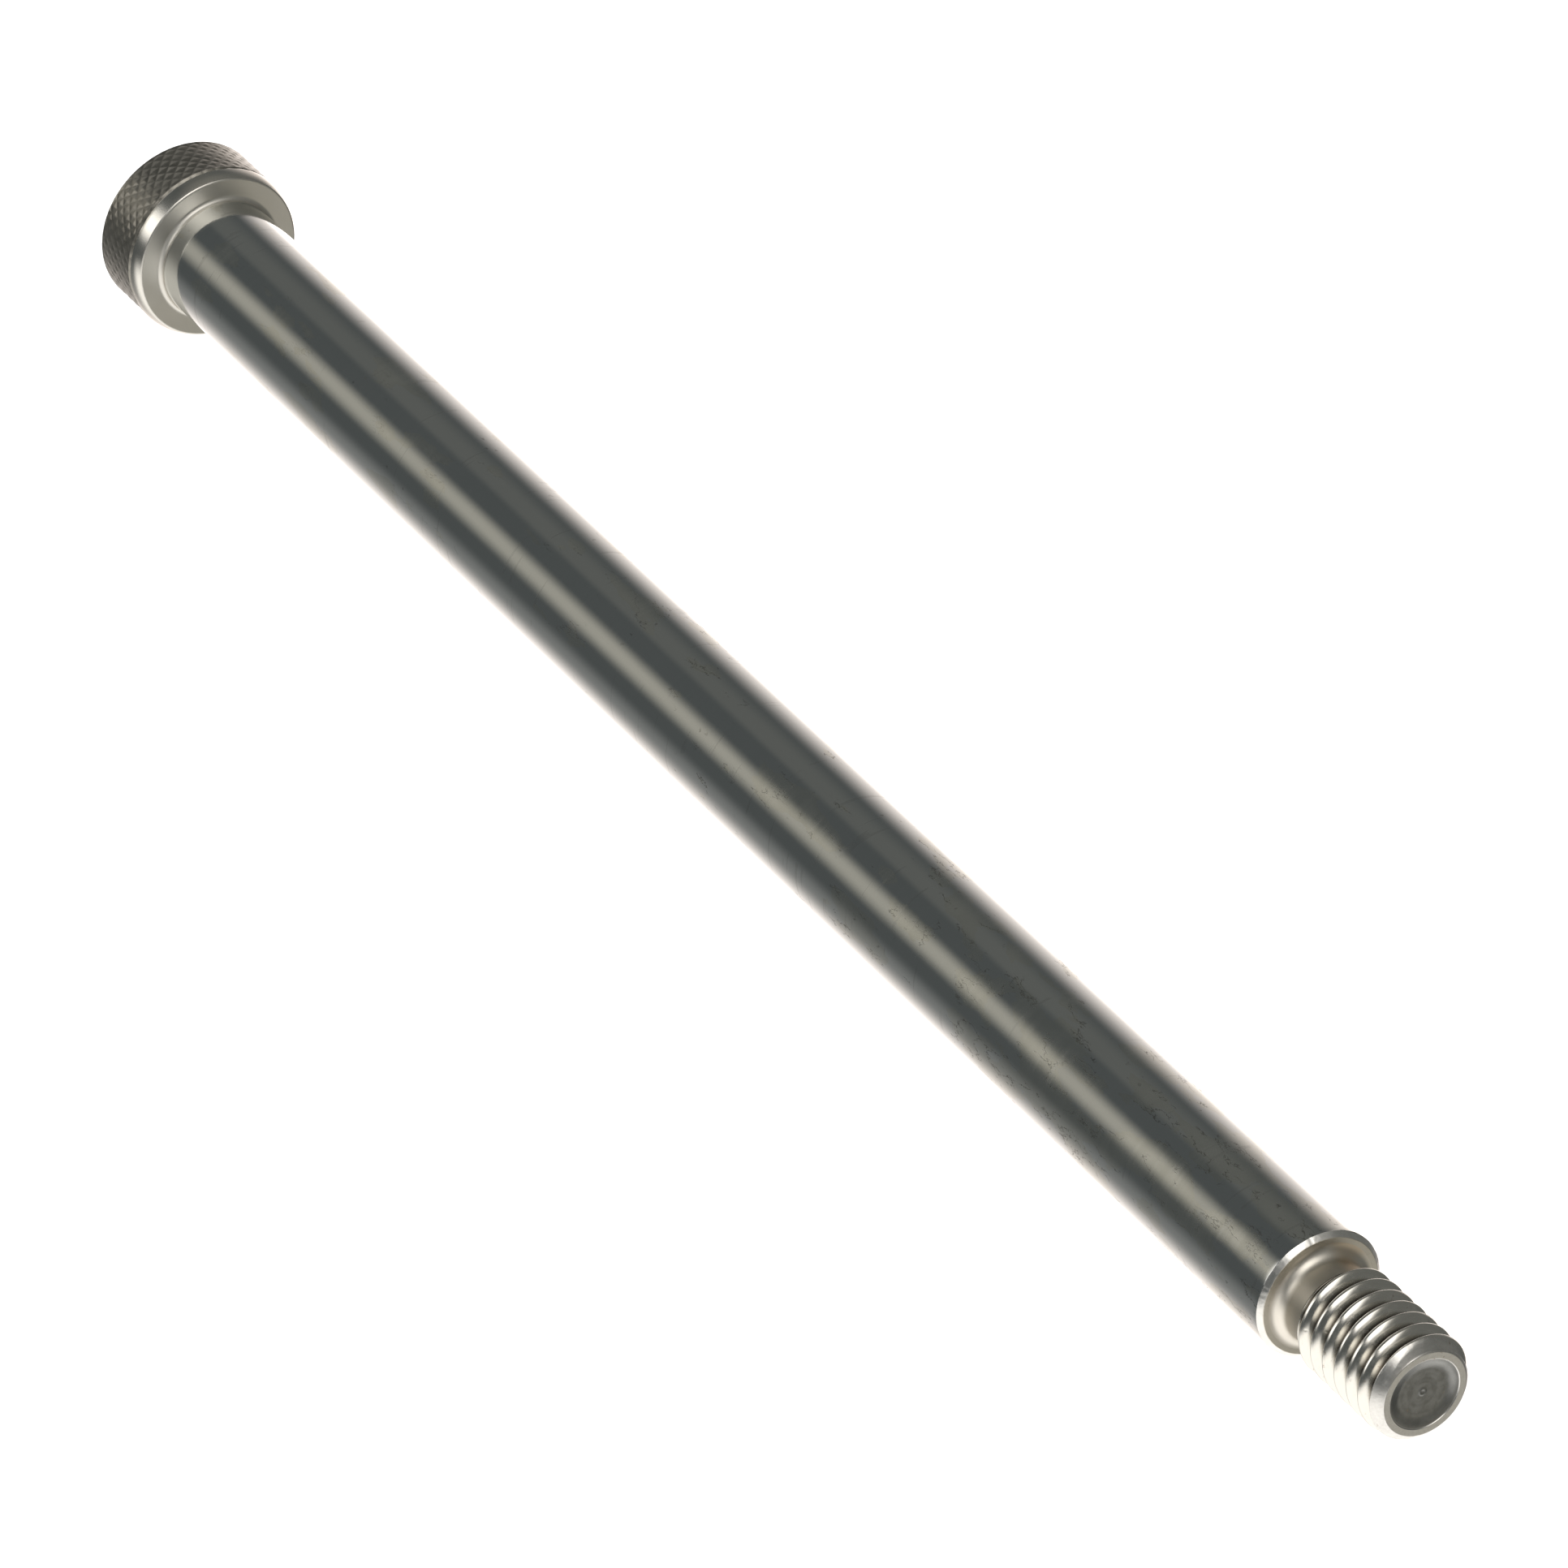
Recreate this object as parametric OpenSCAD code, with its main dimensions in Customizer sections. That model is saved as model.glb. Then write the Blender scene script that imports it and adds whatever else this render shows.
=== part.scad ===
// Socket head shoulder screw, 3/8 inch by 6 inch, with a 5/16-18 thread.
// The screw's axis is X. The origin is on that axis, in the plane of the bearing face under the head.
// The thread points along +X and the hex socket opens along -X.
// The screw is one piece of steel. Each module is one zone of it, between two real changes of feature.

/* [Head] */
// Diameter of the head over the knurl
head_d = 13.5; // [13.3:0.01:14.3]
// Height of the head above the bearing face
head_h = 6.5; // [6:0.1:7]
// Size of the bevel round the top of the head
head_bevel = 0.85; // [0.4:0.05:0.95]
// Length of the smooth band between the knurl and the bearing face
band_h = 1.2; // [0.9:0.05:1.3]
// Radius of the crown that rounds the smooth band down to the bearing face
band_crown_r = 2.2; // [1.35:0.05:3]
// Depth of the shallow groove where the knurl ends
knurl_groove = 0.14; // [0.06:0.01:0.22]
// Width of the hex socket across its flats
socket_flats = 4.76; // [4.7:0.01:4.9]
// Depth of the hex socket's flats
socket_depth = 3.4; // [2.5:0.1:3.8]

/* [Shoulder] */
// Ground diameter of the shoulder
shoulder_d = 9.45; // [9.4:0.01:9.55]
// Length from the bearing face to the shoulder's end face
shoulder_l = 152.4; // [12:0.1:250]
// Radius of the fillet between the shoulder and the bearing face
head_fillet = 0.4; // [0.15:0.05:0.55]
// Size of the chamfer at the shoulder's end
shoulder_chamfer = 0.35; // [0.1:0.05:0.6]

/* [Neck] */
// Diameter of the relief neck between the shoulder and the thread
neck_d = 6.2; // [6:0.01:6.35]
// Length of the relief neck
neck_l = 2.2; // [1.8:0.1:3]
// Radius of the fillet where the neck meets the shoulder's end face
neck_fillet = 0.9; // [0.3:0.05:1]

/* [Thread] */
// Diameter over the thread's crests
thread_d = 7.8; // [7.7:0.01:7.92]
// Distance from one crest to the next
pitch = 1.411; // [1.35:0.001:1.45]
// Radial depth of the thread
thread_depth = 0.84; // [0.72:0.01:0.86]
// Length from the shoulder's end face to the point
thread_l = 12.5; // [10:0.1:16]
// Size of the bevel round the point
point_bevel = 0.75; // [0.6:0.05:1.2]
// Diameter of the shallow cup in the point
cup_d = 5.3; // [4.2:0.05:5.5]
// Depth of the cup
cup_depth = 0.3; // [0.12:0.02:0.48]

/* [Hidden] */

round_fn = 96;
arc_fn = 48;

head_r = head_d / 2;
shoulder_r = shoulder_d / 2;
neck_r = neck_d / 2;
thread_r = thread_d / 2;
root_r = thread_r - thread_depth;
rim_r = thread_r - point_bevel;
cup_r = cup_d / 2;

// The hex socket: a 45 degree lead-in at its mouth, and at its foot a drilled point inside the flats
socket_corner_r = socket_flats / 2 / cos(30);
lead_in_r = socket_corner_r + 0.25;
drill_r = socket_flats / 2 - 0.12;
drill_step = 0.1;
drill_point_h = drill_r * tan(30);
// How far a hollow runs out past the face that it opens through
over = 1;

// The knurl's groove is a V as long as it is wide
groove_x = -band_h - 2 * knurl_groove;

// The crown starts level at the groove and leans more and more until it meets the bearing face
crown_steps = 16;
crown_lean = asin(band_h / band_crown_r);
// The fillet runs from the bearing face to the shoulder in this many steps
fillet_steps = 12;

// The thread's flanks lean 30 degrees, and its crest is an eighth of a pitch wide
flank_slope = 1 / tan(30);
crest_half_w = pitch / 16;
// The first turn rises out of the neck along this slope
run_out_slope = 0.9;

neck_end_x = shoulder_l + neck_l;
point_x = shoulder_l + thread_l;

thread_sides = 40;
rows_per_pitch = 8;
turned_rows = ceil((point_x - neck_end_x) / pitch * rows_per_pitch);

// Turns a profile of [x, radius] points about the X axis
module turned(profile) {
    rotate([0, 90, 0])
        rotate_extrude($fn = round_fn)
            polygon([for (p = profile) [p[1], p[0]]]);
}

// A collar with a concave fillet of radius r, from a flat face at x down to a round of radius inner_r
module filleted_collar(x, inner_r, r) {
    rotate([0, 90, 0])
        rotate_extrude($fn = round_fn)
            difference() {
                translate([0, x])
                    square([inner_r + r, r]);
                translate([inner_r + r, x + r])
                    circle(r, $fn = arc_fn);
            }
}

// The hex socket's hollow, with its mouth at the top of the head
module socket_hollow() {
    mouth_x = -head_h;
    foot_x = mouth_x + socket_depth;
    translate([mouth_x - over, 0, 0])
        rotate([0, 90, 0])
            rotate([0, 0, 30])
                cylinder(r = socket_corner_r, h = socket_depth + over, $fn = 6);
    turned([
        [mouth_x - over, 0],
        [mouth_x - over, lead_in_r + over],
        [mouth_x + lead_in_r - drill_r, drill_r],
        [foot_x + drill_step, drill_r],
        [foot_x + drill_step + drill_point_h, 0]
    ]);
}

// The head: bevelled top, knurled rim, smooth band, flat bearing face, the fillet below it and hex socket
module knurled_head() {
    color([0.55, 0.53, 0.50])
        difference() {
            rotate([0, 90, 0])
                rotate_extrude($fn = round_fn)
                    head_profile();
            socket_hollow();
        }
}

// Half of the head's section as [radius, x], with the crowned band and then the fillet last
module head_profile() {
    polygon(concat([
        [0, -head_h],
        [head_r - head_bevel, -head_h],
        [head_r, -head_h + head_bevel],
        [head_r, groove_x],
        [head_r - knurl_groove, groove_x + knurl_groove],
        [head_r, -band_h]
    ], [for (i = [1:crown_steps]) let (lean = crown_lean * i / crown_steps)
        [head_r - band_crown_r * (1 - cos(lean)), -band_h + band_crown_r * sin(lean)]
    ], [for (i = [0:fillet_steps]) let (turn = 90 * i / fillet_steps)
        [shoulder_r + head_fillet * (1 - sin(turn)), head_fillet * (1 - cos(turn))]
    ], [[0, head_fillet]]));
}

// The ground shoulder: a true cylinder from the fillet's end to a chamfered end
module ground_shoulder() {
    color([0.66, 0.66, 0.64])
        turned([
            [head_fillet, 0],
            [head_fillet, shoulder_r],
            [shoulder_l - shoulder_chamfer, shoulder_r],
            [shoulder_l, shoulder_r - shoulder_chamfer],
            [shoulder_l, 0]
        ]);
}

// The relief neck: a fillet against the shoulder's end face and a plain cylinder
module relief_neck() {
    color([0.74, 0.72, 0.68])
        union() {
            filleted_collar(shoulder_l, neck_r, neck_fillet);
            turned([
                [shoulder_l, 0],
                [shoulder_l, neck_r],
                [neck_end_x, neck_r],
                [neck_end_x, 0]
            ]);
        }
}

// Radius of a right-hand thread's surface at x along the axis and angle a about it
function helix_r(x, a) =
    let (turns = x / pitch - a / 360)
    let (from_crest = abs(turns - round(turns)) * pitch)
    max(root_r, thread_r - max(0, from_crest - crest_half_w) * flank_slope);

// Largest radius that the run-out and the point's bevel leave at x
function envelope_r(x) =
    min(thread_r, neck_r + (x - neck_end_x) * run_out_slope, rim_r + point_x - x);

// One ring of points at x
function ring(x, r) =
    [for (j = [0:thread_sides - 1]) let (a = 360 * j / thread_sides) [x, r * cos(a), r * sin(a)]];
function thread_ring(x) =
    [for (j = [0:thread_sides - 1]) let (a = 360 * j / thread_sides)
        let (r = min(helix_r(x, a), envelope_r(x))) [x, r * cos(a), r * sin(a)]];

// The thread and its point as one closed skin of rings, from the neck to the middle of the cup
module cupped_thread() {
    row_gap = (point_x - neck_end_x) / turned_rows;
    cup_floor_x = point_x - cup_depth;
    points = concat(
        [[neck_end_x, 0, 0]],
        [for (i = [0:turned_rows], p = thread_ring(neck_end_x + i * row_gap)) p],
        ring(point_x, cup_r),
        ring(cup_floor_x, cup_r - cup_depth),
        [[cup_floor_x - cup_depth / 4, 0, 0]]
    );
    rings = turned_rows + 3;
    last = len(points) - 1;
    function at(i, j) = 1 + i * thread_sides + j % thread_sides;
    color([0.72, 0.70, 0.65])
        polyhedron(points, concat(
            [for (j = [0:thread_sides - 1]) [0, at(0, j + 1), at(0, j)]],
            [for (i = [0:rings - 2], j = [0:thread_sides - 1]) [at(i, j), at(i, j + 1), at(i + 1, j)]],
            [for (i = [0:rings - 2], j = [0:thread_sides - 1]) [at(i, j + 1), at(i + 1, j + 1), at(i + 1, j)]],
            [for (j = [0:thread_sides - 1]) [last, at(rings - 1, j), at(rings - 1, j + 1)]]
        ));
}

knurled_head();
ground_shoulder();
relief_neck();
cupped_thread();
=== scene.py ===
"""A socket head shoulder screw in stainless steel: the looks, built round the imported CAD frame.

The screw's axis is X, with the bearing face in the plane x = 0 and the thread towards +X.
Helper functions come first, then the four zones of the screw, the materials, the floor, the light and the
camera.
"""

import math

import bpy
import numpy as np
from mathutils import Matrix, Vector


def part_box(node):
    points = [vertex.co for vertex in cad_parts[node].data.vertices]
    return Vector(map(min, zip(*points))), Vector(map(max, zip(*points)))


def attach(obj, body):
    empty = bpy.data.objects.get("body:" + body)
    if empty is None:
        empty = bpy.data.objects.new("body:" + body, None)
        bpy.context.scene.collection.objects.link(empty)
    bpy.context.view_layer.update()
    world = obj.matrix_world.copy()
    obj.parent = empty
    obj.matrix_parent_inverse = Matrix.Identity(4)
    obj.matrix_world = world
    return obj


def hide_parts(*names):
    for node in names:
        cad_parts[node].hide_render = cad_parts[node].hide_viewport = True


MM = 0.001
RNG = np.random.default_rng(516)

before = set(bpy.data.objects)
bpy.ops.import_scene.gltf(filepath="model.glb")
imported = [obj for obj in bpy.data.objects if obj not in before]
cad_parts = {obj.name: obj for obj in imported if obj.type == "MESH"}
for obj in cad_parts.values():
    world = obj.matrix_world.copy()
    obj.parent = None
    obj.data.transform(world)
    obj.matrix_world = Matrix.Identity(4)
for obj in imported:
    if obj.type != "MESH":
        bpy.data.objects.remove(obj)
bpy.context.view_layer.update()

# ---------------------------------------------------------------- sizes, in millimetres
# The ends of the zones and the head's radius come from the frame. The others are the part's own dimensions.

head_low, head_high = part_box("knurled_head")
HEAD_TOP = head_low.x / MM
HEAD_R = head_high.y / MM
SHOULDER_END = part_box("ground_shoulder")[1].x / MM
NECK_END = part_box("relief_neck")[1].x / MM
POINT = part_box("cupped_thread")[1].x / MM

# the head: its bevel, its socket, the notch where the knurl ends, and the crowned band under the knurl
BEVEL = 0.85
HEX_FLATS = 4.76
HEX_DEPTH = 3.4
HEX_MOUTH_R = HEX_FLATS / 2 / math.cos(math.radians(30)) + 0.25
KNURL_R = HEAD_R - 0.03
KNURL_DEPTH = 0.045
KNURL_CROSSES = 42
GROOVE = 0.14
BAND = 1.2
BAND_CROWN = 2.2
BAND_EDGE = 0.1

# the shoulder, between the fillet under the head and the chamfer
HEAD_FILLET = 0.4
SHOULDER_R = 4.725
CHAMFER = 0.35

# the neck
NECK_R = 3.1
NECK_FILLET = 0.9

# the thread and its point
THREAD_R = 3.9
THREAD_DEPTH = 0.84
ROOT_R = THREAD_R - THREAD_DEPTH
PITCH = 1.411
CREST_ROUND = 0.41
POINT_BEVEL = 0.75
RIM_R = THREAD_R - POINT_BEVEL
CUP_R = 2.65
CUP_DEPTH = 0.3
CUP_WALL_R = 1.75


# ---------------------------------------------------------------- mesh helpers

def grid_mesh(name, rows, sharp):
    """A closed skin from rows of (x, y, z) points in millimetres, with a fan over its first and last rows."""
    n = len(rows[0])
    first, last = rows[0].mean(0), rows[-1].mean(0)
    points = np.vstack([first[None], *rows, last[None]]) * MM
    quads = []
    for i in range(len(rows) - 1):
        a, b = 1 + i * n, 1 + (i + 1) * n
        quads.extend((a + j, b + j, b + (j + 1) % n, a + (j + 1) % n) for j in range(n))
    end = len(points) - 1
    fans = [(0, 1 + j, 1 + (j + 1) % n) for j in range(n)]
    fans += [(end, end - n + (j + 1) % n, end - n + j) for j in range(n)]
    mesh = bpy.data.meshes.new(name)
    mesh.from_pydata(points.tolist(), [], quads + fans)
    mesh.validate()
    mesh.polygons.foreach_set("use_smooth", [True] * len(mesh.polygons))
    mesh.update()
    mesh.set_sharp_from_angle(angle=math.radians(sharp))
    obj = bpy.data.objects.new(name, mesh)
    bpy.context.scene.collection.objects.link(obj)
    return obj


def around(sides):
    """Angles round the axis, one for each side."""
    return np.linspace(0, 2 * math.pi, sides, endpoint=False)


def ring(x, r, angles):
    """One row round the axis. x and r are numbers, or one value for each angle."""
    x = np.broadcast_to(x, angles.shape)
    return np.stack([x, r * np.cos(angles), r * np.sin(angles)], 1)


def arc(cx, cr, r, a0, a1, n):
    """Points (x, radius) along an arc in the section, from angle a0 to a1 in degrees."""
    return [
        (cx + r * math.cos(math.radians(a)), cr + r * math.sin(math.radians(a)))
        for a in np.linspace(a0, a1, n)
    ]


def smooth(t):
    """Rises smoothly from 0 to 1 as t does."""
    t = np.clip(t, 0.0, 1.0)
    return t * t * (3 - 2 * t)


def soft_min(a, b, k):
    """The smaller of a and b, rounded over a width of k where they cross."""
    h = np.clip(0.5 + 0.5 * (a - b) / k, 0, 1)
    return a * (1 - h) + b * h - k * h * (1 - h)


def set_point_value(obj, name, values):
    """Stores one number a vertex, which a material can read."""
    attribute = obj.data.attributes.new(name, "FLOAT", "POINT")
    attribute.data.foreach_set("value", np.asarray(values, np.float32))


# ---------------------------------------------------------------- the head
# Each of these gives rows as x, radius and how far down a groove the row is, from 0 to 1.

def socket_rows(angles):
    """The hex socket, from its drilled point out to the lead-in at its mouth."""
    hex_r = HEX_FLATS / 2 / np.cos(np.mod(angles, math.pi / 3) - math.pi / 6)
    foot = HEAD_TOP + HEX_DEPTH
    drill_r = HEX_FLATS / 2 - 0.12
    drill_x = foot + 0.1
    tip = drill_x + drill_r * math.tan(math.radians(30))
    for t in (0.03, 0.35, 0.7, 1.0):
        yield tip + (drill_x - tip) * t, drill_r * t, 0.0
    yield foot, drill_r, 0.0
    inner = [foot, foot - 0.02, *np.linspace(foot - 0.3, HEAD_TOP + 0.7, 6)]
    mouth = np.linspace(HEAD_TOP + 0.62, HEAD_TOP + 0.02, 16)
    for x in [*inner, *mouth]:
        yield x, np.maximum(hex_r, HEX_MOUTH_R - (x - HEAD_TOP)), 0.0
    yield HEAD_TOP, HEX_MOUTH_R + 0.01, 0.0


def top_rows():
    """The flat top and its bevel, with a small round between them."""
    edge = 0.06
    for r in np.linspace(HEX_MOUTH_R + 0.1, HEAD_R - BEVEL - edge, 12):
        yield HEAD_TOP, r, 0.0
    for x, r in arc(HEAD_TOP + edge, HEAD_R - BEVEL - 0.035, edge, 180, 135, 4):
        yield x, r, 0.0
    yield HEAD_TOP + BEVEL - 0.12, HEAD_R - 0.12 - 0.02, 0.0


def knurl_rows(angles):
    """The knurl: two families of V grooves that cross in diamonds, cut into a cylinder."""
    start, end = HEAD_TOP + BEVEL - 0.1, -BAND - 2 * GROOVE + 0.02
    count = 110
    a = angles * KNURL_CROSSES / (2 * math.pi)
    wander = 0.05 * np.sin(3 * angles + 1.0) + 0.03 * np.sin(7 * angles + 2.0)
    for i in range(count):
        x = start + (end - start) * i / (count - 1)
        shift = (x - start) / (2 * math.pi * KNURL_R / KNURL_CROSSES)
        one = np.abs(np.mod(a + shift + wander, 1.0) - 0.5) * 2
        two = np.abs(np.mod(a - shift - wander, 1.0) - 0.5) * 2
        depth = 1 - np.minimum(np.minimum(one, two) * 1.3, 1.0)
        depth = depth * (0.8 + 0.2 * np.sin(5 * angles + 2.3 * x))
        fade_in = smooth((x - start) / 0.25)
        fade_out = smooth((end - x) / 0.12)
        bevel_r = HEAD_R - 0.1 + (x - start)
        r = np.minimum(KNURL_R, bevel_r) - KNURL_DEPTH * depth * fade_in * (0.35 + 0.65 * fade_out)
        yield x, r, depth * fade_in


def band_rows(angles):
    """The ragged notch that the knurl's teeth run out into, and the smooth band, which is crowned."""
    ragged = 0.05 * np.abs(np.sin(angles * KNURL_CROSSES / 2 + 0.6)) + 0.02 * np.sin(5 * angles)
    yield -BAND - 1.2 * GROOVE + ragged, KNURL_R - GROOVE, 1.0
    yield -BAND - 0.8 * GROOVE + ragged, KNURL_R - GROOVE, 1.0
    yield -BAND + 0.02 + 0.7 * ragged, HEAD_R - 0.04, 0.3
    for x in np.linspace(-BAND + BAND_EDGE, -0.11, 22):
        drop = BAND_CROWN - math.sqrt(BAND_CROWN ** 2 - (x + BAND) ** 2)
        yield x + 0.7 * ragged * (x < -BAND + 0.12), HEAD_R - drop, 0.0


def bearing_rows():
    """The band's rounded edge, the bearing face, and the fillet down to the shoulder."""
    lean = 90 - math.degrees(math.asin((BAND - BAND_EDGE) / BAND_CROWN))
    edge_r = HEAD_R - BAND_CROWN + math.sqrt(BAND_CROWN ** 2 - (BAND - BAND_EDGE) ** 2)
    round_r = BAND_EDGE / (1 - math.cos(math.radians(lean)))
    centre_r = edge_r - round_r * math.sin(math.radians(lean))
    for x, r in arc(-round_r, centre_r, round_r, lean, 0, 10):
        yield x, r, 0.0
    for r in np.linspace(centre_r - 0.03, SHOULDER_R + HEAD_FILLET, 12):
        yield 0.0, r, 0.0
    for x, r in arc(HEAD_FILLET, SHOULDER_R + HEAD_FILLET, HEAD_FILLET, 180, 270, 16)[1:]:
        yield x, r, 0.0
    yield HEAD_FILLET - 0.01, SHOULDER_R - 0.4, 0.0


def build_head():
    angles = around(720)
    rows, grooves = [], []
    for part in (socket_rows(angles), top_rows(), knurl_rows(angles), band_rows(angles), bearing_rows()):
        for x, r, groove in part:
            rows.append(ring(x, r, angles))
            grooves.append(np.broadcast_to(groove, angles.shape))
    obj = grid_mesh("screw_head", rows, sharp=32)
    set_point_value(obj, "groove", np.concatenate([[0.0], *grooves, [0.0]]))
    return obj


# ---------------------------------------------------------------- the shoulder

def build_shoulder():
    angles = around(480)
    profile = [
        (HEAD_FILLET + 0.01, SHOULDER_R - 0.6),
        (HEAD_FILLET + 0.002, SHOULDER_R),
        (HEAD_FILLET + 0.06, SHOULDER_R),
    ]
    profile += [(x, SHOULDER_R) for x in np.linspace(1.0, SHOULDER_END - 0.8, 150)]
    rows = [ring(x, r, angles) for x, r in profile]
    # the chamfer, turned by hand feed: its two edges wander a little, and small nicks are pressed into them
    wander = 0.02 * np.sin(4 * angles + 1.2) + 0.01 * np.sin(11 * angles) + 0.006 * np.sin(23 * angles + 2)
    for place in RNG.uniform(0, 2 * math.pi, 18):
        off = np.abs(np.mod(angles - place + math.pi, 2 * math.pi) - math.pi)
        wander -= RNG.uniform(0.01, 0.03) * np.exp(-(off / RNG.uniform(0.015, 0.04)) ** 2)
    edge = 0.04
    start = SHOULDER_END - CHAMFER - edge * math.tan(math.radians(22.5))
    for x, r in arc(start, SHOULDER_R - edge, edge, 90, 45, 5):
        rows.append(ring(x + wander, r, angles))
    corner = SHOULDER_R - CHAMFER
    for x, r in arc(SHOULDER_END - edge, corner - 0.6 * edge, edge, 45, 0, 5):
        rows.append(ring(x, r + 0.5 * wander, angles))
    # the end face, which carries on inside the neck
    for r in np.linspace(corner - 0.08, NECK_R + NECK_FILLET, 8):
        rows.append(ring(SHOULDER_END, r, angles))
    rows.append(ring(SHOULDER_END, NECK_R - 0.2, angles))
    rows.append(ring(SHOULDER_END - 0.1, NECK_R - 0.4, angles))
    return grid_mesh("screw_shoulder", rows, sharp=40)


# ---------------------------------------------------------------- the neck

def build_neck():
    angles = around(320)
    profile = [(SHOULDER_END + 0.02, NECK_R - 0.4), (SHOULDER_END, NECK_R - 0.2)]
    # the fillet, whose first row stands just clear of the shoulder's end face
    fillet = arc(SHOULDER_END + NECK_FILLET, NECK_R + NECK_FILLET, NECK_FILLET, 180, 270, 24)
    profile += [(SHOULDER_END + 0.0005, fillet[0][1]), *fillet[1:]]
    profile += [(x, NECK_R) for x in np.linspace(SHOULDER_END + NECK_FILLET + 0.08, NECK_END, 14)]
    profile += [(NECK_END, NECK_R - 0.3)]
    return grid_mesh("screw_neck", [ring(x, r, angles) for x, r in profile], sharp=40)


# ---------------------------------------------------------------- the thread

def thread_radius(x, angles):
    """Round crests, which run into flanks that lean 30 degrees, and narrow rounded roots."""
    turns = x / PITCH - angles / (2 * math.pi)
    signed = (turns - np.round(turns)) * PITCH
    off = np.abs(signed)
    fall = np.where(off < CREST_ROUND, 1.5 * off ** 2, 3.0 * CREST_ROUND * off - 1.5 * CREST_ROUND ** 2)
    r = THREAD_R - fall - 0.5 * (np.hypot(off, 0.07) - 0.07)
    r = -soft_min(-r, -ROOT_R, 0.08)
    # the seam that rolling leaves along the crest
    seam = 0.014 * np.exp(-((signed - 0.05) / 0.04) ** 2) * (0.5 + 0.5 * np.sin(3 * angles + 2.1 * x))
    return r - seam


def rim_profile():
    """The flat rim round the point, rounded at both edges."""
    rim = arc(POINT - 0.1, RIM_R - 0.045, 0.1, 45, 0, 6)
    rim += [(POINT, r) for r in np.linspace(RIM_R - 0.1, CUP_R + 0.04, 5)]
    rim += arc(POINT - 0.05, CUP_R + 0.035, 0.05, 0, -40, 4)
    return rim


def cup_rows(angles):
    """The shallow cup: a low dome inside a curved wall, with a spiral tool mark and a pip in the middle."""
    floor_x = POINT - 0.95 * CUP_DEPTH
    steps = 110
    for i in range(steps):
        t = i / (steps - 1)
        r = (CUP_R - 0.02) * (1 - t) + 0.02 * t
        wall = smooth((r - CUP_WALL_R) / (CUP_R + 0.1 - CUP_WALL_R))
        bowl = floor_x + (POINT - 0.06 - floor_x) * wall / 0.98
        dome = 0.04 * (1 - (r / CUP_R) ** 2)
        marks = 0.002 * np.sin(r * 20.0 + angles) * math.exp(-((r - 0.9) / 0.9) ** 2)
        pip = 0.04 * math.exp(-((r - 0.2) / 0.1) ** 2)
        yield bowl - dome + marks + pip, r


def build_thread():
    angles = around(360)
    # small dents: each one's place along the axis, its angle, its depth and its size
    dents = [(RNG.uniform(NECK_END, POINT), RNG.uniform(0, 2 * math.pi), RNG.uniform(0.004, 0.02),
              RNG.uniform(0.05, 0.14)) for _ in range(60)]
    rows = [ring(NECK_END, 0.6 * NECK_R, angles)]
    heights = [np.zeros(len(angles))]
    for x in np.arange(NECK_END, POINT - 0.03, 0.02):
        r = thread_radius(x, angles)
        for place, angle, depth, size in dents:
            if abs(x - place) < 3 * size:
                gap = (np.mod(angles - angle + math.pi, 2 * math.pi) - math.pi) * THREAD_R
                r = r - depth * np.exp(-((x - place) / size) ** 2 - (gap / size) ** 2)
        run_out = NECK_R + 0.9 * (x - NECK_END) + 0.02 * np.sin(2 * angles)
        r = soft_min(r, run_out, 0.12)
        bevel = RIM_R + POINT - x + 0.012 * np.sin(3 * angles + 1)
        r = soft_min(r, bevel, 0.03)
        rows.append(ring(x, r, angles))
        heights.append(np.clip((r - ROOT_R) / THREAD_DEPTH, 0, 1))
    for x, r in rim_profile():
        rows.append(ring(x, r, angles))
        heights.append(np.ones(len(angles)))
    for x, r in cup_rows(angles):
        rows.append(ring(x, r, angles))
        heights.append(np.full(len(angles), 0.5))
    obj = grid_mesh("screw_thread", rows, sharp=60)
    set_point_value(obj, "height", np.concatenate([[0.0], *heights, [0.5]]))
    return obj


head = build_head()
shoulder = build_shoulder()
neck = build_neck()
thread = build_thread()

for piece, node, slot in (
    (head, "knurled_head", "knurled_steel"),
    (shoulder, "ground_shoulder", "ground_steel"),
    (neck, "relief_neck", "turned_steel"),
    (thread, "cupped_thread", "rolled_steel"),
):
    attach(piece, "root")
    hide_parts(node)


# ---------------------------------------------------------------- materials
# Every pattern is made in the screw's own coordinates, in millimetres, so it has no seam and stays with the
# steel.

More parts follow.
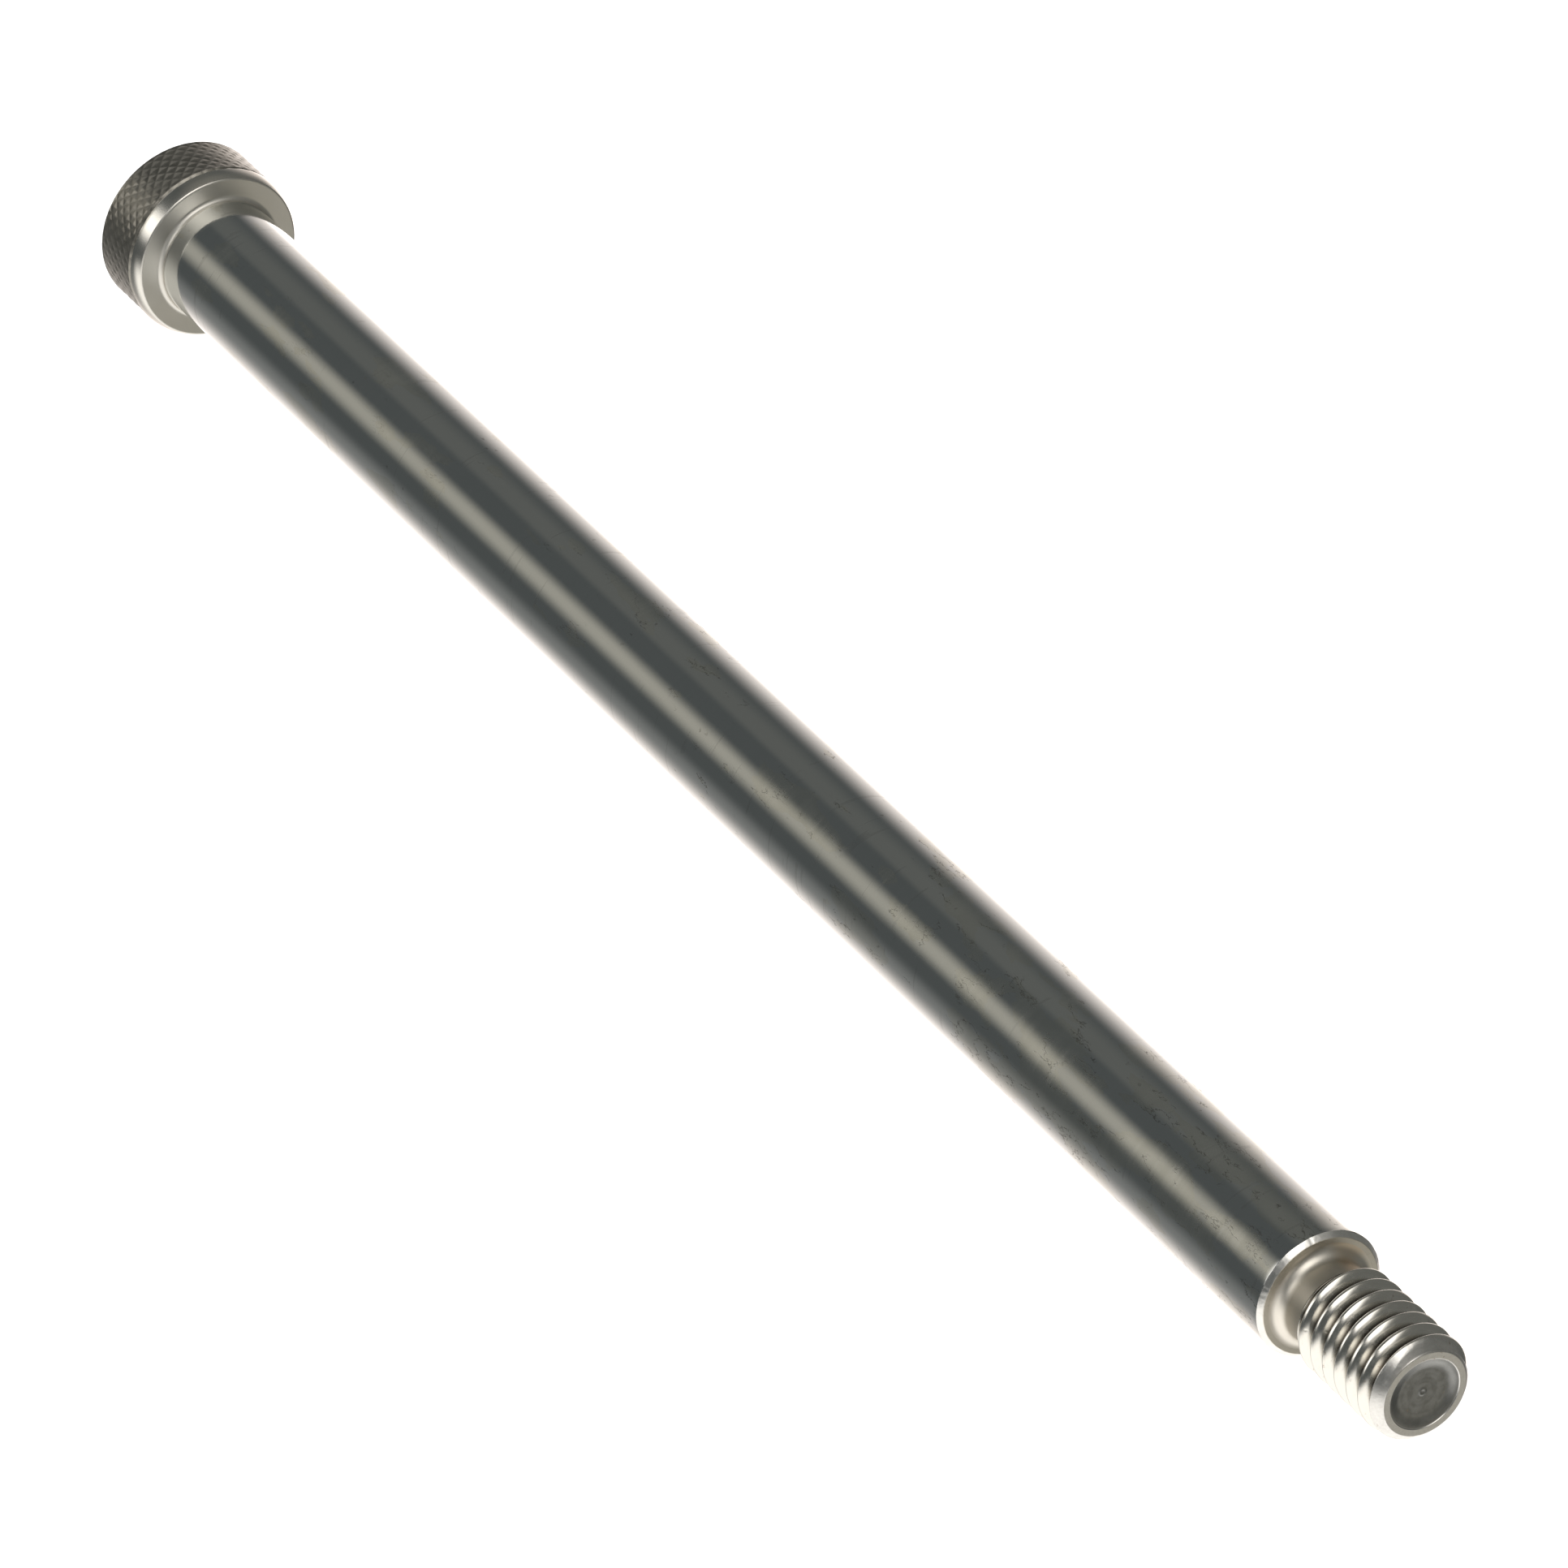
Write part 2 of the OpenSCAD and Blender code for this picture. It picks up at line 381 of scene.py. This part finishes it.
class Steel:
    """A steel material with helpers for building its patterns."""

    def __init__(self, name):
        self.material = bpy.data.materials.new(name)
        self.material.use_nodes = True
        self.tree = self.material.node_tree
        self.shader = self.tree.nodes["Principled BSDF"]
        self.shader.inputs["Metallic"].default_value = 1.0
        self.place = self.vector("SCALE", self.node("ShaderNodeTexCoord").outputs["Object"])
        self.place.node.inputs["Scale"].default_value = 1 / MM
        split = self.node("ShaderNodeSeparateXYZ")
        self.tree.links.new(self.place, split.inputs[0])
        self.x, self.y, self.z = split.outputs
        squares = self.math("ADD", self.times(self.y, self.y), self.times(self.z, self.z))
        self.radius = self.math("SQRT", squares)
        self.bumped = None

    def node(self, kind, **values):
        node = self.tree.nodes.new(kind)
        for key, value in values.items():
            setattr(node, key, value)
        return node

    def put(self, value, socket):
        """Links another node's output to the socket, or sets the socket to a plain value."""
        if hasattr(value, "is_output"):
            self.tree.links.new(value, socket)
        else:
            socket.default_value = value

    def math(self, operation, a, b=0.0):
        node = self.node("ShaderNodeMath", operation=operation)
        self.put(a, node.inputs[0])
        self.put(b, node.inputs[1])
        return node.outputs[0]

    def times(self, a, b):
        return self.math("MULTIPLY", a, b)

    def plus(self, value, mask, amount):
        """The value, raised by the amount where the mask is 1."""
        return self.math("ADD", value, self.times(mask, amount))

    def vector(self, operation, a, b=None):
        node = self.node("ShaderNodeVectorMath", operation=operation)
        self.put(a, node.inputs[0])
        if b is not None:
            self.put(b, node.inputs[1])
        return node.outputs[0]

    def between(self, value, low, high, start=0.0, end=1.0):
        """Goes smoothly from start at low to end at high, where low may be above high."""
        node = self.node("ShaderNodeMapRange", interpolation_type="SMOOTHSTEP")
        self.put(value, node.inputs["Value"])
        if low > high:
            low, high, start, end = high, low, end, start
        for name, number in (("From Min", low), ("From Max", high), ("To Min", start), ("To Max", end)):
            node.inputs[name].default_value = number
        return node.outputs["Result"]

    def noise(self, stretch, detail=3.0, shift=0.0, rough=0.5):
        """Noise with stretch features a millimetre along X, Y and Z."""
        place = self.vector("MULTIPLY_ADD", self.place, stretch)
        place.node.inputs[2].default_value = (shift, shift * 0.7, -shift)
        node = self.node("ShaderNodeTexNoise")
        self.tree.links.new(place, node.inputs["Vector"])
        node.inputs["Scale"].default_value = 1.0
        node.inputs["Detail"].default_value = detail
        node.inputs["Roughness"].default_value = rough
        return node.outputs["Fac"]

    def rings(self, value, stretch, shift=0.0, detail=2.0):
        """Fine uneven tool rings that follow one distance, such as x or the radius."""
        combine = self.node("ShaderNodeCombineXYZ")
        self.put(self.times(value, stretch), combine.inputs[0])
        self.put(shift, combine.inputs[1])
        slow = self.vector("MULTIPLY", self.place, (0.0, 0.12, 0.12))
        place = self.vector("ADD", combine.outputs[0], slow)
        node = self.node("ShaderNodeTexNoise")
        self.tree.links.new(place, node.inputs["Vector"])
        node.inputs["Scale"].default_value = 1.0
        node.inputs["Detail"].default_value = detail
        return node.outputs["Fac"]

    def spots(self, stretch, size, shift=0.0):
        """Small scattered spots: 1 in a spot's middle and 0 outside it."""
        place = self.vector("MULTIPLY_ADD", self.place, stretch)
        place.node.inputs[2].default_value = (shift, -shift, shift * 0.3)
        wobble = self.node("ShaderNodeTexNoise")
        self.tree.links.new(self.place, wobble.inputs["Vector"])
        wobble.inputs["Scale"].default_value = 3.0
        bent = self.vector("MULTIPLY_ADD", wobble.outputs["Color"], (0.5, 0.5, 0.5))
        self.tree.links.new(place, bent.node.inputs[2])
        node = self.node("ShaderNodeTexVoronoi")
        self.tree.links.new(bent, node.inputs["Vector"])
        node.inputs["Scale"].default_value = 1.0
        return self.between(node.outputs["Distance"], size, size * 0.4)

    def mix(self, factor, a, b):
        """A colour between a and b."""
        node = self.node("ShaderNodeMix", data_type="RGBA")
        self.put(factor, node.inputs["Factor"])
        self.put((*a, 1.0) if isinstance(a, tuple) else a, node.inputs["A"])
        self.put((*b, 1.0) if isinstance(b, tuple) else b, node.inputs["B"])
        return node.outputs["Result"]

    def bump(self, height, microns):
        """Adds a relief, on top of those that are there already."""
        node = self.node("ShaderNodeBump")
        self.put(height, node.inputs["Height"])
        node.inputs["Distance"].default_value = microns * 1e-6
        if self.bumped is not None:
            self.tree.links.new(self.bumped, node.inputs["Normal"])
        self.bumped = node.outputs["Normal"]

    def finish(self, color, rough):
        self.tree.links.new(color, self.shader.inputs["Base Color"])
        self.tree.links.new(rough, self.shader.inputs["Roughness"])
        self.tree.links.new(self.bumped, self.shader.inputs["Normal"])
        return self.material


def knurled_steel():
    """The head: a dull dark knurl with painted shade down its grooves, a brighter turned band and face, and a
    rougher socket darkened with painted shade.
    """
    m = Steel("knurled_steel")
    groove = m.node("ShaderNodeAttribute", attribute_name="groove").outputs["Fac"]
    below_top = m.between(m.x, HEAD_TOP + 0.3, HEAD_TOP + 0.9)
    knurl = m.times(m.between(m.x, -BAND + 0.05, -BAND - 0.1), below_top)
    face = m.between(m.x, -0.12, -0.01)
    near_axis = m.between(m.radius, HEX_FLATS / 2 + 0.6, HEX_FLATS / 2 + 0.3)
    socket = m.times(near_axis, m.between(m.x, -2.0, -2.6))
    cloud = m.noise((0.35, 0.35, 0.35), 4.0, 3.0)
    grime = m.noise((1.8, 1.8, 1.8), 4.0, 9.0)
    fine = m.noise((9.0, 9.0, 9.0), 2.0, 1.0)
    bright = m.mix(cloud, (0.6, 0.575, 0.525), (0.66, 0.64, 0.59))
    dull = m.mix(grime, (0.25, 0.235, 0.205), (0.33, 0.315, 0.28))
    # painted shade: the knurl's colour darkens towards the bottom of each groove
    dull = m.mix(m.times(groove, 0.4), dull, (0.2, 0.19, 0.165))
    color = m.mix(knurl, bright, dull)
    # painted shade: the colour is darkened inside the hex socket's recess
    color = m.mix(m.times(socket, 0.8), color, (0.3, 0.285, 0.27))
    rough = m.between(cloud, 0.3, 0.7, 0.2, 0.25)
    rough = m.plus(rough, knurl, m.between(grime, 0.3, 0.7, 0.12, 0.18))
    rough = m.plus(rough, face, 0.2)
    rough = m.plus(rough, socket, 0.15)
    m.bump(m.rings(m.radius, 5.0, 2.0), 2.5)
    m.bump(m.rings(m.x, 5.0, 7.0), 2.0)
    m.bump(fine, 2.0)
    return m.finish(color, rough)


def ground_steel():
    """The shoulder: ground nearly to a mirror, with hairlines, dark specks and cracked films of oil."""
    m = Steel("ground_steel")
    end = m.between(m.x, SHOULDER_END - CHAMFER - 0.04, SHOULDER_END - CHAMFER + 0.04)
    face = m.between(m.x, SHOULDER_END - 0.06, SHOULDER_END - 0.01)
    root = m.between(m.x, HEAD_FILLET + 0.15, HEAD_FILLET - 0.05)
    cloud = m.noise((0.05, 0.3, 0.3), 4.0, 5.0)
    rings = m.rings(m.x, 4.0, 3.0)
    # hairlines round the shoulder, each of which covers only part of the way
    part = m.noise((0.3, 0.35, 0.35), 2.0, 40.0)
    hairline = m.times(m.between(m.rings(m.x, 2.2, 11.0, 1.0), 0.665, 0.69), m.between(part, 0.5, 0.56))
    # thin films of oil, with more of them towards the thread, and dark cracks in and beside them
    film = m.noise((0.16, 0.45, 0.45), 3.5, 31.0, 0.45)
    more = m.math("ADD", m.between(m.x, 80.0, 150.0, -0.02, 0.13), m.between(part, 0.4, 0.6, -0.02, 0.02))
    film = m.math("ADD", film, more)
    oiled = m.between(film, 0.6, 0.612)
    crack_noise = m.noise((0.3, 0.9, 0.9), 5.0, 52.0, 0.6)
    crack = m.between(m.math("ABSOLUTE", m.math("SUBTRACT", crack_noise, 0.5)), 0.011, 0.004)
    crack = m.times(crack, m.between(film, 0.55, 0.59))
    crack = m.times(crack, m.between(m.x, 30.0, 80.0, 0.25, 1.0))
    crack = m.times(crack, m.between(m.noise((0.3, 0.7, 0.7), 2.0, 77.0), 0.47, 0.52))
    speck = m.times(m.spots((0.7, 0.9, 0.9), 0.14, 4.0), m.between(cloud, 0.5, 0.6))
    color = m.mix(cloud, (0.575, 0.585, 0.57), (0.63, 0.635, 0.615))
    color = m.mix(m.times(oiled, 0.6), color, m.mix(part, (0.48, 0.475, 0.42), (0.68, 0.67, 0.61)))
    color = m.mix(m.times(crack, 0.8), color, (0.17, 0.165, 0.145))
    color = m.mix(m.times(hairline, 0.25), color, (0.34, 0.34, 0.32))
    color = m.mix(m.times(speck, 0.5), color, (0.24, 0.23, 0.21))
    # the chamfer and the end face, which are turned and not ground
    grain = m.noise((2.5, 2.5, 2.5), 4.0, 17.0)
    color = m.mix(end, color, m.mix(grain, (0.64, 0.625, 0.59), (0.78, 0.765, 0.73)))
    color = m.mix(face, color, m.mix(grain, (0.6, 0.565, 0.49), (0.66, 0.625, 0.55)))
    rough = m.between(rings, 0.35, 0.65, 0.08, 0.105)
    rough = m.plus(rough, oiled, m.between(film, 0.6, 0.75, 0.045, 0.08))
    rough = m.plus(rough, hairline, 0.06)
    rough = m.plus(rough, crack, 0.15)
    rough = m.plus(rough, end, 0.2)
    rough = m.plus(rough, face, 0.14)
    rough = m.plus(rough, root, 0.26)
    m.bump(rings, 0.35)
    m.bump(cloud, 14.0)
    m.bump(m.times(m.noise((3.0, 3.0, 3.0), 3.0, 8.0), end), 12.0)
    return m.finish(color, rough)


def turned_steel():
    """The neck: turned to a satin, with fine rings and an orange painted reflection on its upper side towards
    +Y.
    """
    m = Steel("turned_steel")
    cloud = m.noise((0.6, 0.6, 0.6), 4.0, 2.0)
    rings = m.rings(m.x, 9.0, 5.0)
    # painted reflection: a wedge on the neck's upper side towards +Y, which gets an orange tint
    painted_warm_reflection = m.times(m.between(m.y, 0.2, 1.4), m.between(m.z, 1.8, 2.8))
    fillet = m.between(m.x, SHOULDER_END + 0.8, SHOULDER_END + 0.3)
    color = m.mix(cloud, (0.4, 0.37, 0.31), (0.48, 0.445, 0.38))
    color = m.mix(fillet, color, m.mix(cloud, (0.64, 0.6, 0.53), (0.72, 0.68, 0.61)))
    # painted reflection: the orange tint is mixed in over that wedge
    color = m.mix(m.times(painted_warm_reflection, 0.4), color, (0.62, 0.45, 0.27))
    rough = m.math("ADD", m.between(cloud, 0.3, 0.7, 0.46, 0.52), m.between(rings, 0.4, 0.7, 0.0, 0.04))
    rough = m.math("SUBTRACT", rough, m.times(fillet, 0.11))
    m.bump(rings, 1.5)
    m.bump(m.noise((5.0, 5.0, 5.0), 3.0, 6.0), 1.5)
    return m.finish(color, rough)


def rolled_steel():
    """The thread: bright crests, flanks darkened with painted shade, a scuffed point and a dull cup."""
    m = Steel("rolled_steel")
    height = m.node("ShaderNodeAttribute", attribute_name="height").outputs["Fac"]
    near_point = m.between(m.x, POINT - 0.6, POINT - 0.45)
    cup = m.times(m.between(m.radius, CUP_R + 0.03, CUP_R - 0.12), near_point)
    point = m.between(m.x, POINT - POINT_BEVEL - 0.1, POINT - POINT_BEVEL + 0.1)
    cloud = m.noise((0.8, 0.8, 0.8), 4.0, 14.0)
    scuff = m.noise((5.0, 1.6, 1.6), 4.0, 6.0, 0.6)
    grain = m.noise((4.5, 4.5, 4.5), 4.0, 2.0, 0.6)
    crest = m.mix(scuff, (0.64, 0.615, 0.56), (0.75, 0.725, 0.67))
    # painted shade: the flanks between the crests are darkened, so the thread is light at its crests and dark
    # below them
    painted_shade_flank = m.mix(cloud, (0.15, 0.135, 0.115), (0.24, 0.22, 0.19))
    color = m.mix(m.between(height, 0.15, 0.45), painted_shade_flank, crest)
    root = m.mix(cloud, (0.34, 0.32, 0.28), (0.46, 0.435, 0.39))
    color = m.mix(m.between(height, 0.09, 0.03), color, root)
    color = m.mix(point, color, m.mix(grain, (0.55, 0.53, 0.5), (0.76, 0.745, 0.71)))
    swirl = m.math("ADD", m.times(m.rings(m.radius, 2.6, 4.0, 3.0), 0.4), m.times(scuff, 0.6))
    color = m.mix(cup, color, m.mix(m.between(swirl, 0.36, 0.64), (0.2, 0.2, 0.19), (0.28, 0.28, 0.27)))
    cup_wall = m.times(cup, m.between(m.radius, CUP_WALL_R, 2.3, 0.0, 0.3))
    color = m.mix(cup_wall, color, (0.36, 0.355, 0.34))
    stain = m.times(m.spots((1.1, 1.1, 1.1), 0.2, 7.0), m.between(grain, 0.5, 0.6, 0.0, 0.6))
    color = m.mix(stain, color, (0.3, 0.23, 0.17))
    rough = m.between(height, 0.0, 0.7, 0.24, 0.19)
    rough = m.plus(rough, point, 0.12)
    rough = m.math("ADD", rough, m.between(scuff, 0.5, 0.7, 0.0, 0.08))
    rough = m.plus(rough, cup, 0.03)
    m.bump(scuff, 1.6)
    m.bump(m.times(grain, m.math("SUBTRACT", point, cup)), 8.0)
    m.bump(cloud, 2.0)
    return m.finish(color, rough)


for piece, steel in (
    (head, knurled_steel),
    (shoulder, ground_steel),
    (neck, turned_steel),
    (thread, rolled_steel),
):
    piece.data.materials.append(steel())

# ---------------------------------------------------------------- floor
# The floor is the plane that the head's band and the shoulder's end lie on, so it leans a little along X.

FLOOR_HALF = 1500.0
FLOOR_SLOPE = (HEAD_R - SHOULDER_R) / (SHOULDER_END - CHAMFER + BAND)


def floor_corner(x, y):
    return tuple(c * MM for c in (x, y, -HEAD_R + FLOOR_SLOPE * (x + BAND)))


corners = [floor_corner(x * FLOOR_HALF, y * FLOOR_HALF) for x, y in ((-1, -1), (1, -1), (1, 1), (-1, 1))]
floor_mesh = bpy.data.meshes.new("floor")
floor_mesh.from_pydata(corners, [], [(0, 1, 2, 3)])
floor = bpy.data.objects.new("floor", floor_mesh)
bpy.context.scene.collection.objects.link(floor)
floor_material = bpy.data.materials.new("floor")
floor_material.use_nodes = True
floor_shader = floor_material.node_tree.nodes["Principled BSDF"]
floor_shader.inputs["Base Color"].default_value = (0.85, 0.85, 0.85, 1)
floor_shader.inputs["Roughness"].default_value = 0.9
floor_shader.inputs["Specular IOR Level"].default_value = 0.0
floor_shader.inputs["Emission Color"].default_value = (1, 1, 1, 1)
floor_shader.inputs["Emission Strength"].default_value = 0.85
floor_mesh.materials.append(floor_material)
floor.visible_glossy = False

# ---------------------------------------------------------------- light
# The studio is a dark room with soft white panels, given by direction. about is the angle round the screw's
# axis in degrees, from straight up (0) towards -Y (90), and along is how far the direction leans towards +X,
# from -1 to 1. about runs from -180 to 180, and about_full is the same angle from 0 to 360.

world = bpy.data.worlds.new("studio")
bpy.context.scene.world = world
world.use_nodes = True
tree = world.node_tree
tree.nodes.clear()


def wnode(kind, **values):
    node = tree.nodes.new(kind)
    for key, value in values.items():
        setattr(node, key, value)
    return node


def combined(kind, operation, a, b):
    """A node that combines a and b, each of which is another node's output or a plain value."""
    node = wnode(kind, operation=operation)
    for socket, value in zip(node.inputs, (a, b)):
        if isinstance(value, (int, float, tuple)):
            socket.default_value = value
        else:
            tree.links.new(value, socket)
    return node.outputs[0]


def wmath(operation, a, b):
    return combined("ShaderNodeMath", operation, a, b)


def step(value, low, high):
    """Rises smoothly from 0 at low to 1 at high. It falls where low is above high."""
    node = wnode("ShaderNodeMapRange", interpolation_type="SMOOTHSTEP")
    tree.links.new(value, node.inputs["Value"])
    rising = high > low
    node.inputs["From Min"].default_value = low if rising else high
    node.inputs["From Max"].default_value = high if rising else low
    node.inputs["To Min"].default_value = 0.0 if rising else 1.0
    node.inputs["To Max"].default_value = 1.0 if rising else 0.0
    return node.outputs["Result"]


direction = wnode("ShaderNodeTexCoord").outputs["Generated"]
split = wnode("ShaderNodeSeparateXYZ")
tree.links.new(direction, split.inputs[0])
along = split.outputs["X"]
towards_front = wmath("MULTIPLY", split.outputs["Y"], -1.0)
about = wmath("MULTIPLY", wmath("ARCTAN2", towards_front, split.outputs["Z"]), 180 / math.pi)
about_full = wmath("FLOORED_MODULO", about, 360.0)


def panel(color, strength, *steps):
    """A soft panel: the product of its steps, times its colour and strength."""
    product = steps[0]
    for factor in steps[1:]:
        product = wmath("MULTIPLY", product, factor)
    scale = wnode("ShaderNodeVectorMath", operation="SCALE")
    scale.inputs[0].default_value = tuple(c * strength for c in color)
    tree.links.new(product, scale.inputs["Scale"])
    return scale.outputs[0]


# the colours of the panels, and the dim light of the room itself
WARM = (1.0, 0.93, 0.78)
WHITE = (1.0, 0.98, 0.95)
ROSE = (1.0, 0.9, 0.85)
ROOM = (0.1, 0.109, 0.11)
panels = [
    # the softbox overhead, on the thread's side
    panel(WHITE, 2.2, step(about, -32, -2), step(about, 36, 28),
          step(along, 0.2, 0.36), step(along, 0.93, 0.82)),
    # the softbox at the near side
    panel(WHITE, 2.0, step(about, 38, 56), step(about, 84, 66),
          step(along, -0.66, -0.54), step(along, 0.5, 0.3)),
    # its spill towards the head's end, which is the long streak on the shoulder
    panel(WARM, 0.39, step(about, 36, 60), step(about, 90, 64), step(along, -0.5, -0.62)),
    # the white table below the near side, which ends sooner towards the thread and is dimmer towards the head
    panel(WHITE, 1.5, step(about_full, 98, 120), step(about_full, 225, 205),
          step(along, -0.55, -0.2), step(along, 0.6, 0.4)),
    panel(WHITE, 1.5, step(about_full, 98, 120), step(about_full, 195, 170),
          step(along, 0.4, 0.6), step(along, 0.93, 0.83)),
    panel(WHITE, 0.17, step(about_full, 105, 140), step(about_full, 275, 245), step(along, -0.2, -0.55)),
    panel(ROSE, 1.1, step(about_full, 135, 200), step(about_full, 275, 245), step(along, -0.2, -0.55)),
    # the backdrop beyond the far side
    panel(ROSE, 1.25, step(about, -40, -105), step(about_full, 190, 230), step(along, -0.2, -0.6)),
    # the shaded table under the thread's end
    panel(WARM, 0.4, step(about, -90, -125), step(about_full, 180, 215), step(along, 0.3, 0.6)),
    # a dim card overhead on the far side
    panel(WARM, 0.05, step(about, -50, -15), step(about, 12, -2)),
    # the room's dim light beyond the thread's far side
    panel(WARM, 0.06, step(about, -135, -95), step(about, 30, 0), step(along, -0.5, -0.15)),
    # a white card behind the head, which only the views from there show
    panel(WHITE, 0.6, step(about, -75, -40), step(about, 75, 40), step(along, -0.8, -0.9)),
]
total = ROOM
for light in panels:
    total = combined("ShaderNodeVectorMath", "ADD", total, light)
studio = wnode("ShaderNodeBackground")
tree.links.new(total, studio.inputs["Color"])
# the camera sees a plain white backdrop past the floor's edge
backdrop = wnode("ShaderNodeBackground")
backdrop.inputs["Color"].default_value = (1, 1, 1, 1)
backdrop.inputs["Strength"].default_value = 1.05
chooser = wnode("ShaderNodeMixShader")
tree.links.new(wnode("ShaderNodeLightPath").outputs["Is Camera Ray"], chooser.inputs["Fac"])
tree.links.new(studio.outputs[0], chooser.inputs[1])
tree.links.new(backdrop.outputs[0], chooser.inputs[2])
tree.links.new(chooser.outputs[0], wnode("ShaderNodeOutputWorld").inputs["Surface"])

# ---------------------------------------------------------------- camera
# It looks at the point LOOK_X along the axis and CAMERA_ASIDE beside it, near the middle of the screw. Its
# azimuth is measured from -Y towards +X. Lengths are in millimetres.

CAMERA_AZIMUTH = math.radians(59.865)
CAMERA_ELEVATION = math.radians(33.211)
CAMERA_ROLL = math.radians(-0.06)
CAMERA_DISTANCE = 830.13
CAMERA_ASIDE = 0.308
LOOK_X = 82.81

back = Vector((
    math.sin(CAMERA_AZIMUTH) * math.cos(CAMERA_ELEVATION),
    -math.cos(CAMERA_AZIMUTH) * math.cos(CAMERA_ELEVATION),
    math.sin(CAMERA_ELEVATION),
))
across = back.cross(Vector((1, 0, 0))).normalized()
look = Vector((LOOK_X, 0, 0)) * MM + across * CAMERA_ASIDE * MM
camera_data = bpy.data.cameras.new("camera")
camera_data.sensor_width = 36.0
camera_data.lens = 276.46
camera_data.clip_start = 0.05
camera_data.clip_end = 20.0
camera = bpy.data.objects.new("camera", camera_data)
bpy.context.scene.collection.objects.link(camera)
turn = back.to_track_quat("Z", "Y").to_matrix() @ Matrix.Rotation(CAMERA_ROLL, 3, "Z")
camera.matrix_world = Matrix.Translation(look + back * (CAMERA_DISTANCE * MM)) @ turn.to_4x4()
bpy.context.scene.camera = camera
bpy.context.scene.view_settings.view_transform = "Standard"

bpy.context.view_layer.update()
